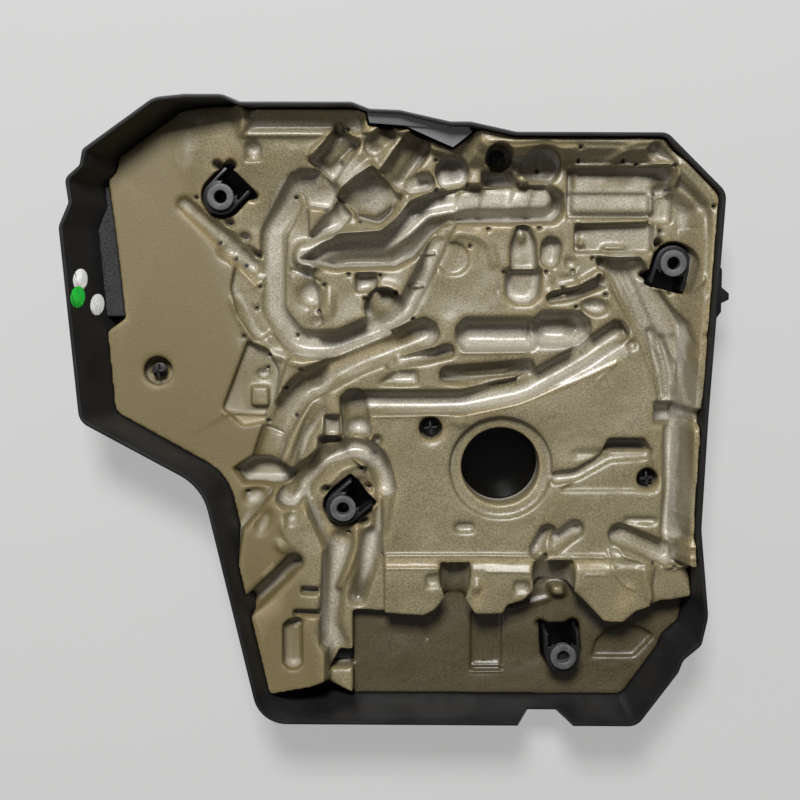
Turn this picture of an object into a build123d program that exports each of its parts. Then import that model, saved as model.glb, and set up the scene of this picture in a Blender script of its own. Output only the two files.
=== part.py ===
from build123d import *
import math
import os

# Engine cover, millimetres. It lies on its outer face: z = 0 is the floor and +z its underside.
rim_height = 80.0
shoulder_height = 14.0
wall = 2.8
panel = 3.0

# How far each wall leans in between the rim and the shoulder, and the shoulder's round-over.
lean_left = 25.0
lean_right = 6.0
lean_top = 4.0
lean_bottom = 5.0
shoulder_inset = 12.0

# Corners of the rim, clockwise from the left: x, y, corner radius.
rim = [
    (-270, 154, 12), (-261.5, 173, 6), (-264, 192, 8), (-252, 202.5, 5), (-249.5, 215, 6), (-192, 255.5, 20),
    (-168, 258, 20), (-138, 258, 15), (-125, 252, 12), (-36, 252, 10), (-22, 246.5, 8), (2, 245.5, 12),
    (42, 236.5, 8), (58, 236.5, 10), (94, 228.5, 20), (214, 228, 12), (262, 181, 14), (252, 0, 300),
    (248.5, -92, 60), (256, -165, 30), (251, -189, 8), (236, -202, 10), (232.5, -212, 6), (199, -258, 14),
    (-114, -256, 28), (-159, -57, 45), (-257.5, -3, 14),
]

# Cut-out in the bottom wall, for a hose.
notch_x = 123.0
notch_width = 24.0
notch_flare = 11.0
notch_floor = 46.0
notch_reach = 18.0

# Outer face: a raised border round a field with ribs left in it.
border_width = 34.0
field_depth = 0.8
field_ribs = 3
field_rib_width = 14.0
field_rib_pitch = 92.0

# Wider than the cover, for cutters that run right across it.
across_all = 640.0

# Sloped ledge inside the top wall, in two facets: corners in plan, height at the first corner, slope.
ledge_thickness = 2.6
ledge_slope = 24.0
ledge_outer = [(-24, 244.3), (3, 243.5), (42, 234.8), (40, 231.5), (-22, 236)]
ledge_outer_height = 74.5
ledge_inner = [(-20, 237), (40, 234.3), (56, 234.6), (60, 229), (45, 217.5), (33, 222.5), (6, 234)]
ledge_inner_height = 69.5

# Lug on the outside of the right wall.
lug = [
    (256, 125), (261, 125), (264, 119), (264, 105), (270, 100), (270, 95), (264, 92), (264, 85), (259, 78),
    (253, 78),
]
lug_low = 62.0
lug_high = 74.0

# Grommet holders: x, y, and the way that the open end faces, in degrees.
holders = [(-144.9, 178.4, 45), (227.7, 124.1, -105), (-45.6, -81.1, 40), (141.2, -209.1, 93)]
holder_radius = 14.5
holder_wall = 2.4
holder_leg = 20.0
holder_top = 42.0
shelf_thickness = 2.6
shelf_reach = 8.0

# Rubber grommets, held by the neck in the holder's shelf.
grommet_radius = 11.0
neck_radius = 7.8
stud_radius = 5.2
collar_height = 4.2
foot_radius = 9.8
foot_height = 5.0

# Foam pins: x, y and the radius of the well that each one sits in.
pins = [(82.9, 210.2, 11.3), (-200.7, 34.0, 12.0), (28.0, -13.8, 9.8), (210.6, -56.9, 9.0)]
well_floor = 22.0
pin_head_radius = 6.3
pin_head = 2.2
pin_shank_radius = 2.0
pin_end = 6.0
pin_slack = 0.1
boss_radius = 4.5
boss_top = 14.0
boss_clearance = 0.8

# Felt strip between the left wall and the foam.
strip_height = 32.0
strip_low = 79.5
strip_high = 187.0
strip_gap = 0.5
strip_edge = [(-240, 203), (-233, 143), (-227, 78)]

# Plain round stickers on the left wall, as they show in plan: name, x, y.
# The second laps over the first, and the third over the second.
stickers = [
    ("sticker_white_a", -257.3, 111.3), ("sticker_green", -258.4, 97.4), ("sticker_white_b", -248.2, 90.1),
]
sticker_width = 7.4
sticker_length = 17.3
sticker_thickness = 0.25
sticker_gap = 0.1

# Foam levels.
foam_gap = 0.5
foam_flat = 34.0
foam_plateau = 44.0
foam_apron = 48.0
foam_low = 20.0
foam_bank = 72.0
relief_top = 92.0
pocket_top = 74.0
pocket_lean = 10.0
mound_lean = 14.0
bank_lean = 38.0
channel_lean = 6.0
channel_knee = 0.45
octagon = math.tan(math.pi / 8)
least_round = 0.4

# Ground of the relief: corners, top, lean of the sides in degrees.
# The last three are banks that rise to the walls.
mounds = [
    ([(-70, 122), (-72, 168), (-40, 205), (-26, 250), (80, 250), (280, 240), (280, -150), (205, -166),
      (190, -150), (-12, -119), (-12, -52), (-62, -28), (-96, -52), (-108, -20), (-92, 40), (-60, 75)],
     foam_plateau, mound_lean),
    ([(-28, 262), (66, 262), (66, 228), (45, 212), (28, 216), (4, 229), (-28, 229)], 52, mound_lean),
    ([(-128, -100), (-100, -66), (-84, -64), (-60, -118), (-62, -228), (-118, -250), (-150, -236)],
     56, mound_lean),
    ([(-118, 280), (-28, 280), (-28, 246), (-112, 246)], 62, bank_lean),
    ([(62, 270), (250, 270), (218, 222), (72, 223)], foam_bank, bank_lean),
    ([(204, 262), (300, 262), (300, -112), (246, -112), (246, 0), (252, 120), (256, 172), (214, 217)],
     foam_bank, bank_lean),
]

# Front edge of the upper foam over the low shelf: the apron, with its scallops.
apron = [
    (-11, -131), (-11, -171), (22, -173), (32, -168), (40, -158), (56, -157), (68, -175), (88, -175),
    (93, -164), (107, -160), (119, -146), (145, -148), (157, -159), (175, -178), (191, -179), (202, -169),
    (214, -165), (217, -131),
]
apron_lip = 2.0
apron_lip_y = -121.0

# Ground of the low shelf under the apron.
low_shelf = [
    (-38, -171), (-38, -262), (290, -262), (290, -155), (222, -161), (214, -165), (202, -169), (191, -179),
    (175, -178), (157, -159), (145, -148), (119, -146), (107, -160), (93, -164), (88, -175), (68, -175),
    (56, -157), (40, -158), (32, -168), (22, -173),
]

# Hose and loom channels with round floors: path, half width, floor, bend radius.
channels = [
    ([(-80, 188), (-102, 150), (-105, 84), (-84, 57), (-48, 57), (-18, 70)], 10.5, 23, 22),
    ([(-18, 70), (6, 86), (22, 116), (44, 164)], 6.5, 26, 18),
    ([(-41, 171), (-76, 131)], 7.5, 30, 0),
    ([(22, 66), (-34, 45), (-80, 20), (-102, -14), (-112, -44)], 11.5, 25, 30),
    ([(-28, 9), (52, 9), (104, 20), (150, 46), (182, 67)], 9.0, 30, 40),
    ([(62, 66), (106, 66)], 12.5, 24, 0),
    ([(126, 70), (146, 70)], 13.5, 20, 0),
    ([(42, 32), (108, 38)], 6.0, 32, 0),
    ([(-4, 41), (42, 51)], 5.0, 33, 0),
    ([(-90, -70), (-62, -38), (-34, -29), (-17, -38), (-11, -64)], 8.5, 26, 18),
    ([(-36, 8), (-34, -15)], 10.5, 24, 0),
    ([(188, -104), (226, -120)], 9.0, 32, 0),
    ([(120, -117), (127, -103)], 7.5, 35, 0),
    ([(132, -112), (150, -99)], 7.0, 35, 0),
    ([(134, -55), (150, -53), (178, -37), (208, -35)], 5.0, 37, 12),
    ([(128, 96), (150, 100), (169, 109)], 4.0, 30, 20),
    ([(-19, 219), (-9, 226)], 7.5, 36, 0),
    ([(-1, 196), (14, 217)], 11.5, 28, 0),
    ([(12, 189), (23, 190)], 7.0, 28, 0),
    ([(126, 129), (127, 137)], 8.0, 33, 0),
    ([(208, 213), (219, 213)], 7.5, 56, 0),
    ([(53, -98), (61, -98)], 4.5, 40, 0),
    ([(-88, -182), (-88, -209)], 7.8, 44, 0),
    ([(-126, -164), (-87, -126)], 6.5, 42, 0),
    ([(-50, -122), (-53, -192)], 11.0, 34, 0),
]

# Wire strands side by side in the loom trough.
strand_count = 3
strand_pitch = 9.5
strand_half = 4.2
strand_floor = 31.0
strand_bend = 13.0
strand_path = [(176, 124), (200, 72), (224, 34), (228, -1)]

# Grooves that fade out at one end: both ends of the axis, radius.
fading_grooves = [
    ((-180, 176, 46), (-110, 113, 36), 13.0),
    ((-118, 224, 42), (-117, 206, 37), 9.0),
    ((49, -128, 47), (49, -165, 33), 13.0),
    ((132, -128, 50), (132, -160, 34), 18.0),
    ((98, -148, 52), (112, -148, 52), 8.0),
    ((24, -143, 52), (38, -141, 52), 8.0),
]

# Pockets with sloped walls: corners, floor.
pockets = [
    ([(-47, 231), (-34, 220), (-53, 194), (-69, 207)], 15),
    ([(-80, 199), (-62, 199), (-51, 184), (-56, 171), (-74, 173), (-79, 185)], 21),
    ([(-20, 199), (-6, 188), (0, 177), (-7, 166), (-15, 159), (-31, 163), (-49, 178), (-34, 191)], 22),
    ([(-76, 128), (-60, 139), (-45, 144), (-12, 146), (2, 157), (13, 171), (31, 179), (52, 184), (122, 186),
      (133, 178), (134, 167), (128, 161), (96, 160), (42, 160), (27, 148), (13, 132), (-2, 124), (-48, 122)],
     15),
    ([(73, 187), (73, 196), (92, 198), (96, 187)], 17),
    ([(141, 180), (141, 200), (220, 200), (220, 180)], 34),
    ([(141, 162), (141, 181), (206, 181), (206, 162)], 31),
    ([(208, 158), (208, 178), (224, 178), (224, 158)], 36),
    ([(148, 135), (148, 155), (208, 156), (208, 135)], 30),
    ([(92, 117), (117, 117), (115, 98), (109, 93), (99, 93), (93, 98)], 24),
    ([(95, 120), (95, 138), (100, 154), (107, 154), (113, 140), (115, 120)], 30),
    ([(-33, 102), (-33, 115), (-18, 115), (-18, 102)], 32),
    ([(-134, 124), (-113, 116), (-108, 92), (-106, 66), (-118, 60), (-133, 82), (-138, 104)], 27),
    ([(-125, 58), (-108, 52), (-100, 34), (-106, -8), (-130, -12), (-146, 3)], 27),
    ([(-134, -50), (-122, -42), (-108, -42), (-88, -53), (-95, -59), (-128, -59)], 9),
    ([(-60, -19), (-60, -3), (-49, -3), (-49, -19)], 34),
    ([(-63, -27), (-63, -23), (-49, -23), (-49, -27)], 22),
    ([(164, 128), (200, 128), (216, 102), (236, 74), (240, 52), (241, 4), (221, 4), (215, 28), (199, 66),
      (182, 96)], 35),
    ([(217, -8), (217, 7), (258, 7), (258, -8)], 26),
    ([(224, -128), (224, -8), (240, -8), (240, -128)], 37),
    ([(176, -31), (179, -25), (205, -25), (209, -31)], 22),
    ([(136, -66), (176, -41), (214, -40), (218, -66)], 41),
    ([(-79, -151), (-79, -147), (-67, -147), (-67, -151)], 44),
    ([(-86, -170), (-86, -167), (-63, -167), (-63, -170)], 44),
    ([(64, -229), (64, -177), (90, -177), (90, -229)], 15),
    ([(169, -216), (172, -203), (181, -193), (196, -188), (211, -191), (222, -198), (205, -216)], 15),
]

# Pads left standing in the pockets: corners, top.
pads = [
    ([(-45, 208), (-37, 216), (-28, 207), (-37, 197)], 27),
    ([(-14, 157), (-8, 163), (-2, 158), (-8, 152)], 27),
    ([(47, 162), (52, 184), (70, 184), (66, 162)], 18),
    ([(90, 162), (97, 184), (112, 184), (106, 162)], 18),
    ([(171, 133), (171, 138), (188, 138), (188, 133)], 35),
    ([(-122, 5), (-122, 20), (-109, 20), (-109, 5)], 33),
]

# Round recesses: x, y, radius, floor.
discs = [(45, 198, 14, 28), (-11, 88, 16.5, 24), (46, 128, 13.5, 40), (118, 203, 16, 32), (99, 203, 8, 34)]

# Opening over the filler cap, with a recessed ring about it.
filler_x = 87.0
filler_y = -46.7
filler_radius = 33.0
filler_ring_radius = 43.0
filler_ring_floor = 38.0

# Holes torn through for the grommet holders: clearance round the holder.
holder_clearance = 3.0

# Parts of the foam cut away right through: their corners.
cut_outs = [
    [(-24, 270), (68, 270), (68, 234), (45, 216), (33, 221), (6, 232.5), (-24, 233.5)],
    [(-60, -224), (-50, -208), (-38, -206), (-38, -222)],
    [(-290, 208)] + strip_edge + [(-244, 66), (-290, 60)],
    [(-108, -270), (-108, -239), (-64, -231), (-38, -244), (-38, -270)],
]


def turn(corners):
    """+1 for corners that run anticlockwise, -1 for clockwise."""
    pairs = zip(corners, corners[1:] + corners[:1])
    area = sum(a[0] * b[1] - b[0] * a[1] for a, b in pairs)
    return math.copysign(1, area)


def inset(corners, by):
    """The same outline with every edge moved inwards; a negative distance moves them out."""
    side = turn(corners)
    moved = []
    for before, here, after in zip(corners[-1:] + corners[:-1], corners, corners[1:] + corners[:1]):
        come = Vector(here[0] - before[0], here[1] - before[1]).normalized()
        go = Vector(after[0] - here[0], after[1] - here[1]).normalized()
        normal = Vector(-come.Y - go.Y, come.X + go.X) * side
        shift = normal * (by / (1 + come.dot(go)))
        bend = math.copysign(1, (come.X * go.Y - come.Y * go.X) * side)
        radius = max(here[2] - by * bend, least_round) if here[2] else 0
        moved.append((here[0] + shift.X, here[1] + shift.Y, radius))
    return moved


def outline(corners, z):
    """Flat face at height z with an arc at each corner that has a radius."""
    arcs = []
    for before, here, after in zip(corners[-1:] + corners[:-1], corners, corners[1:] + corners[:1]):
        corner = Vector(here[0], here[1], z)
        back = (Vector(before[0], before[1], z) - corner).normalized()
        ahead = (Vector(after[0], after[1], z) - corner).normalized()
        half = math.radians(back.get_angle(ahead)) / 2
        reach = here[2] / math.tan(half)
        crown = corner + (back + ahead).normalized() * (here[2] / math.sin(half) - here[2])
        arcs.append((corner + back * reach, crown, corner + ahead * reach))
    edges = []
    for here, arc, following in zip(corners, arcs, arcs[1:] + arcs[:1]):
        if here[2]:
            edges.append(ThreePointArc(*arc))
        edges.append(Line(arc[2], following[0]))
    return Face(Wire(edges))


def sharp(points):
    """Corners in plan without a radius."""
    return [(x, y, 0) for x, y in points]


def drawn_in(corners, left, right, top, bottom):
    """Corners squeezed so that each side of their box comes in by its own amount."""
    x_low = min(x for x, y, r in corners)
    x_high = max(x for x, y, r in corners)
    y_low = min(y for x, y, r in corners)
    y_high = max(y for x, y, r in corners)
    x_scale = (x_high - x_low - left - right) / (x_high - x_low)
    y_scale = (y_high - y_low - top - bottom) / (y_high - y_low)
    squeezed = []
    for x, y, r in corners:
        new_x = x_low + left + (x - x_low) * x_scale
        new_y = y_low + bottom + (y - y_low) * y_scale
        squeezed.append((new_x, new_y, r * x_scale))
    return squeezed


shoulder = drawn_in(rim, lean_left, lean_right, lean_top, lean_bottom)
plateau = drawn_in(shoulder, shoulder_inset, shoulder_inset, shoulder_inset, shoulder_inset)


def corners_at(z):
    """Outer corners of the shell at a height."""
    low, high, share = plateau, shoulder, z / shoulder_height
    if z > shoulder_height:
        low, high, share = shoulder, rim, (z - shoulder_height) / (rim_height - shoulder_height)
    mixed = []
    for a, b in zip(low, high):
        mixed.append(tuple(p + (q - p) * share for p, q in zip(a, b)))
    return mixed


def inside(gap, top):
    """Room inside the shell from the panel up, standing off the walls by a gap."""
    heights = (panel, shoulder_height, top)
    return loft([outline(inset(corners_at(z), wall + gap), z) for z in heights], ruled=True)


def prism(corners, low, high, spread):
    """Outline carried from one height to another, growing by a distance on the way."""
    return loft([outline(corners, low), outline(inset(corners, -spread), high)], ruled=True)


def facet(corners, height):
    """Thin sloped plate with upright sides; it falls away from its first corner."""
    column = extrude(Polygon(*corners, align=None), amount=rim_height, both=True)
    plate = Rot(ledge_slope, 0, 0) * Box(across_all, across_all, ledge_thickness)
    return column & Pos(0, corners[0][1], height) * plate


def holder():
    """Horseshoe that stands on the panel and holds a grommet on a slotted shelf; it opens towards +x."""
    body = Circle(holder_radius) + Pos(holder_leg / 2, 0) * Rectangle(holder_leg, 2 * holder_radius)
    inner = holder_radius - holder_wall
    room = Circle(inner) + Pos(holder_leg, 0) * Rectangle(2 * holder_leg, 2 * inner)
    walls = Pos(0, 0, panel) * extrude(body - room, amount=holder_top - panel)
    shelf = Circle(inner + holder_wall / 2)
    shelf += Pos(shelf_reach / 2, 0) * Rectangle(shelf_reach, 2 * inner + holder_wall)
    slot = Circle(neck_radius) + Pos(holder_leg, 0) * Rectangle(2 * holder_leg, 2 * neck_radius)
    return walls + Pos(0, 0, holder_top - shelf_thickness) * extrude(shelf - slot, amount=shelf_thickness)


def boss():
    """Post on the panel that a foam pin is pushed into."""
    post = Pos(0, 0, panel / 2) * extrude(Circle(boss_radius), amount=boss_top - panel / 2)
    bore = Pos(0, 0, pin_end) * extrude(Circle(pin_shank_radius + pin_slack), amount=boss_top - pin_end)
    return post - bore


def notch():
    """Cutter for the hose cut-out in the bottom wall."""
    half = notch_width / 2
    top = half + notch_flare * (relief_top - notch_floor) / (rim_height - notch_floor)
    low_corners = [(-half, notch_floor), (half, notch_floor)]
    face = Polygon(*low_corners, (top, relief_top), (-top, relief_top), align=None)
    y_low = min(y for x, y, r in rim)
    return Pos(notch_x, y_low, 0) * extrude(Plane.XZ * face, amount=notch_reach, both=True)


def outer_field():
    """Cutter for the shallow field in the outer face, less the ribs left in it."""
    corners = inset([(x, y, 0) for x, y, r in plateau], border_width)
    field = extrude(outline(corners, 0), amount=field_depth)
    for i in range(field_ribs):
        y = (i - (field_ribs - 1) / 2) * field_rib_pitch
        field -= Pos(0, y, field_depth / 2) * Box(across_all, field_rib_width, field_depth)
    return field


def cover_shell():
    """The black moulding: panel, skirt, ledge, lug and pin bosses."""
    shell = loft([outline(corners_at(z), z) for z in (0, shoulder_height, rim_height)], ruled=True)
    shell -= inside(0, rim_height + wall)
    shell -= notch()
    shell -= outer_field()
    shell += facet(ledge_outer, ledge_outer_height)
    shell += facet(ledge_inner, ledge_inner_height)
    shell += Pos(0, 0, lug_low) * extrude(Polygon(*lug, align=None), amount=lug_high - lug_low)
    for x, y, radius in pins:
        shell += Pos(x, y, 0) * boss()
    return shell


def grommet():
    """Rubber grommet: collar on the shelf, neck in its slot, foot below, and a socket for the stud."""
    low = holder_top - shelf_thickness
    foot_end = low - foot_height
    collar_end = holder_top + collar_height
    profile = Polyline(
        (stud_radius, foot_end), (foot_radius, foot_end), (foot_radius, low), (neck_radius, low),
        (neck_radius, holder_top), (grommet_radius, holder_top), (grommet_radius, collar_end),
        (stud_radius, collar_end), close=True)
    return revolve(Plane.XZ * make_face(profile), Axis.Z)


def foam_pin():
    """Push pin that holds the foam: a round head, and a shank for the boss."""
    pin = Pos(0, 0, pin_end) * extrude(Circle(pin_shank_radius), amount=well_floor - pin_end)
    return pin + Pos(0, 0, well_floor) * extrude(Circle(pin_head_radius), amount=pin_head)


def felt_strip():
    """Strip that fills the room between the foam and the left wall."""
    (x_top, y_top), (x_mid, y_mid), (x_low, y_low) = strip_edge
    slope_top = (x_top - x_mid) / (y_top - y_mid)
    slope_low = (x_mid - x_low) / (y_mid - y_low)
    edge = [
        (x_low + (strip_low - y_low) * slope_low - strip_gap, strip_low), (x_mid - strip_gap, y_mid),
        (x_mid + (strip_high - y_mid) * slope_top - strip_gap, strip_high),
    ]
    far = -across_all / 2
    bar = prism(sharp(edge + [(far, strip_high), (far, strip_low)]), panel, strip_height, 0)
    return bar & inside(0, rim_height)


def sticker_column(x, y, margin):
    """Upright oval over a sticker."""
    oval = Ellipse(sticker_width / 2 + margin, sticker_length / 2 + margin)
    return Pos(x, y, strip_height) * extrude(oval, amount=rim_height - strip_height)


def sticker(i):
    """Plain label lying on the inner face of the left wall, trimmed where the next one laps over it."""
    name, x, y = stickers[i]
    label = sticker_column(x, y, 0) & inside(0, rim_height)
    label -= inside(sticker_thickness, rim_height + wall)
    for name, x, y in stickers[i + 1:]:
        label -= sticker_column(x, y, sticker_gap)
    return label


def ribbon(points, half, bend):
    """Corners of a path with a width: its ends are cut to half an octagon and its bends are rounded."""
    path = [Vector(x, y) for x, y in points]
    right, left = [], []
    for i, here in enumerate(path):
        come = (here - path[i - 1]).normalized() if i else (path[1] - here).normalized()
        go = (path[i + 1] - here).normalized() if i + 1 < len(path) else come
        across = Vector(-come.Y - go.Y, come.X + go.X) * (half / (1 + come.dot(go)))
        if 0 < i < len(path) - 1:
            lean = math.copysign(half, come.X * go.Y - come.Y * go.X) if bend else 0
            right.append((here.X - across.X, here.Y - across.Y, bend + lean))
            left.append((here.X + across.X, here.Y + across.Y, bend - lean))
            continue
        beyond = (come if i else -come) * half
        near = beyond * octagon
        tip = [(here + near - across), (here + beyond - across * octagon)]
        back = [(here + near + across), (here + beyond + across * octagon)]
        right += [(v.X, v.Y, 0) for v in (tip if i else tip[::-1])]
        left += [(v.X, v.Y, 0) for v in (back if i else back[::-1])]
    return right + left[::-1]


def channel(points, half, floor, bend, top=relief_top):
    """Cutter for a channel: a floor with sloped sides, and walls that lean out a little."""
    corners = ribbon(points, half, bend)
    knee = floor + channel_knee * half
    spread = (top - knee) * math.tan(math.radians(channel_lean))
    sections = [outline(inset(corners, channel_knee * half), floor), outline(corners, knee)]
    sections.append(outline(inset(corners, -spread), top))
    return loft(sections, ruled=True)


def rod(start, end, radius):
    """Cutter for a round groove with a sloping axis."""
    a, b = Vector(start), Vector(end)
    return extrude(Plane(origin=a, z_dir=b - a) * Circle(radius), amount=(b - a).length)


def pocket(corners, floor):
    """Cutter for a pocket whose walls lean out."""
    spread = (pocket_top - floor) * math.tan(math.radians(pocket_lean))
    return prism(sharp(corners), floor, pocket_top, spread)


def mound(corners, top, lean=mound_lean):
    """Raised ground with sloped sides, from the panel up."""
    spread = (top - panel) * math.tan(math.radians(lean))
    return prism(inset(sharp(corners), -spread), panel, top, -spread)


def foam_ground():
    """The foam before its channels and pockets: flat part, raised ground, apron and low shelf."""
    lip = [(x, apron_lip_y if y == apron[0][1] else y) for x, y in apron]
    raised = [mound(*shape) for shape in mounds]
    raised.append(prism(sharp(lip), panel, foam_apron - apron_lip, 0))
    raised.append(prism(sharp(apron), panel, foam_apron, 0))
    air = Pos(0, 0, foam_flat) * extrude(Rectangle(across_all, across_all), amount=rim_height)
    air -= raised
    air += prism(sharp(low_shelf), foam_low, foam_flat + rim_height, 0)
    return inside(foam_gap, rim_height - wall) - air


def holes():
    """Everything that goes straight down through the foam."""
    cutters = []
    for x, y, radius in pins:
        well = Pos(0, 0, well_floor) * extrude(Circle(radius), amount=relief_top - well_floor)
        well += extrude(Circle(boss_radius + boss_clearance), amount=well_floor)
        cutters.append(Pos(x, y, 0) * well)
    ring = extrude(Circle(filler_ring_radius), amount=relief_top - filler_ring_floor)
    ring = Pos(0, 0, filler_ring_floor) * ring + extrude(Circle(filler_radius), amount=relief_top)
    cutters.append(Pos(filler_x, filler_y, 0) * ring)
    reach = holder_radius + holder_clearance
    hole = Circle(reach) + Pos(holder_leg / 2, 0) * Rectangle(holder_leg + 2 * holder_clearance, 2 * reach)
    for x, y, way in holders:
        cutters.append(Pos(x, y, 0) * Rot(0, 0, way) * extrude(hole, amount=relief_top))
    for corners in cut_outs:
        cutters.append(prism(sharp(corners), 0, relief_top, 0))
    return cutters


def recesses():
    """Everything that is moulded into the foam's face, in the order that it is cut."""
    cutters = [channel(*run) for run in channels]
    for i in range(strand_count):
        shift = (i - (strand_count - 1) / 2) * strand_pitch
        path = [(x + shift, y) for x, y in strand_path]
        cutters.append(channel(path, strand_half, strand_floor, strand_bend, strand_floor + 2 * strand_half))
    cutters += [rod(*groove) for groove in fading_grooves]
    standing = [mound(*pad) for pad in pads]
    cutters += [pocket(*shape) - standing for shape in pockets]
    for x, y, radius, floor in discs:
        cutters.append(Pos(x, y, floor) * extrude(Circle(radius), amount=relief_top - floor))
    return cutters


def foam_liner():
    """The moulded foam that fills the cover."""
    foam = foam_ground() - holes()
    for cutter in recesses():
        foam -= cutter
    return foam


def nodes():
    """Every piece by name."""
    yield "cover_shell", cover_shell()
    yield "foam_liner", foam_liner()
    for i, (x, y, way) in enumerate(holders):
        yield f"grommet_holder_{i + 1}", Pos(x, y, 0) * Rot(0, 0, way) * holder() & inside(0, rim_height)
        yield f"grommet_{i + 1}", Pos(x, y, 0) * grommet()
    for i, (x, y, radius) in enumerate(pins):
        yield f"foam_pin_{i + 1}", Pos(x, y, 0) * foam_pin()
    yield "felt_strip", felt_strip()
    for i, (name, x, y) in enumerate(stickers):
        yield name, sticker(i)


os.makedirs("parts", exist_ok=True)
for name, shape in nodes():
    export_step(shape, f"parts/{name}.step")
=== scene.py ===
import math

import bpy
import numpy as np
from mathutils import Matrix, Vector


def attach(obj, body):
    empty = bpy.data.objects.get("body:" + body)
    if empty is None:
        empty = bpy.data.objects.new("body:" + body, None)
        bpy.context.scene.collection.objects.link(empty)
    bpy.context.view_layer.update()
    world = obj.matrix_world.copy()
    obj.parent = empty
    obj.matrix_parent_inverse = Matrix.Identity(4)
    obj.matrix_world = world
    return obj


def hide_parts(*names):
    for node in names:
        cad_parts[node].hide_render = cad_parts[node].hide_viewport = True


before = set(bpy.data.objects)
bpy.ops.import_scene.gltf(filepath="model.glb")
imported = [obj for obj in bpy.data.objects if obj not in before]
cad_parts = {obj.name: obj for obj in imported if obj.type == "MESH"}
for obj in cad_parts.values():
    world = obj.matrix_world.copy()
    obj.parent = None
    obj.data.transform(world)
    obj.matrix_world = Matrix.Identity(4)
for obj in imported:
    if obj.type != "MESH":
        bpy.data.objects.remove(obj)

bl_info = {
    "name": "Engine Cover",
    "version": (1, 0, 0),
    "blender": (4, 5, 0),
    "location": "View3D > Sidebar > Engine Cover",
    "description": "Dresses an engine cover: plastic shell, moulded foam liner, grommets, pins and strip",
    "category": "Object",
}

BODY = "root"
MM = 0.001
SOCKETS = 4
PINS = 4

# Relief of the foam besides the steps and channels of the solid, in millimetres.
# Soft strokes are rounded with the foam: path, half width, rise, share of the width that is flat.
SOFT_STROKES = (
    (((-88, -85), (-76, -61), (-59, -44), (-36, -33), (-20, -38), (-12, -54), (-11, -75),
      (-14, -98)), 10, -6, 0.3),
    (((-120, -158), (-100, -140), (-86, -125)), 11, -9, 0.1),
    (((-48, -112), (-55, -150), (-58, -185), (-50, -203)), 13, -7, 0.2),
    (((-74, 130), (-47, 140), (-12, 143), (5, 152), (22, 170), (60, 176), (120, 177)), 15, 14, 0.4),
    (((-116, 226), (-36, 226)), 75, 17, 0.0), (((-6, 200), (10, 222), (20, 235)), 14, 7, 0.3),
    (((222, 62), (229, 35), (231, 12)), 4, -5, 0.0), (((230, 62), (237, 35), (240, 12)), 4, -4, 0.0),
    (((212, 66), (219, 38), (223, 12)), 5, -6, 0.0), (((233, -15), (236, -60), (232, -100)), 12, -6, 0.3),
    (((128, 97), (148, 102), (168, 114)), 7, 7, 0.3), (((-176, 172), (-150, 149), (-122, 121)), 9, -5, 0.2),
    (((-136, 92), (-124, 66), (-106, 48), (-80, 41), (-50, 47), (-22, 58), (0, 67)), 5, 3, 0.2),
    (((-44, 124), (-8, 128), (10, 146), (26, 158), (44, 163)), 9, 7, 0.2),
    (((36, 147), (52, 149), (68, 146), (77, 138), (80, 124)), 5, 2.5, 0.2),
    (((-60, -64), (-46, -49), (-30, -45)), 4, 3, 0.0),
    (((40, 29), (60, 26), (90, 28), (110, 35)), 6, -6, 0.2), (((2, 43), (30, 48), (42, 53)), 6, -6, 0.0),
    (((150, -35), (170, -34)), 5, -2.5, 0.0), (((172, 206), (184, 216), (196, 227)), 5, 3.5, 0.0),
    (((130, 99), (148, 103), (166, 111)), 5, -5, 0.0),
    (((222, 192), (240, 178), (251, 162), (252, 140), (250, 100)), 4, -3.5, 0.0),
    (((230, 205), (246, 190), (256, 174)), 4, 2.5, 0.0),
    (((204, 110), (216, 104), (238, 101), (247, 112)), 4, 4, 0.0),
    (((-22, -108), (-26, -135), (-34, -160)), 10, -9, 0.2),
    (((-34, -98), (-35, -118), (-42, -135), (-50, -152)), 4, 7, 0.0),
    (((118, -116), (124, -103)), 7, -5, 0.0), (((134, -108), (152, -99)), 6, -5, 0.0),
    (((208, -132), (210, -145), (214, -158)), 6, 3, 0.0), (((194, -92), (216, -92)), 4, -5, 0.0),
    (((-84, -66), (-92, -80), (-96, -95), (-88, -110)), 4, 3, 0.0),
    (((-70, 14), (-82, -12), (-93, -38)), 5, 2.5, 0.0), (((-60, 2), (-76, -20), (-84, -50)), 5, -3, 0.0),
    (((98, -174), (115, -169), (131, -164)), 4, 3.5, 0.0),
)

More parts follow.
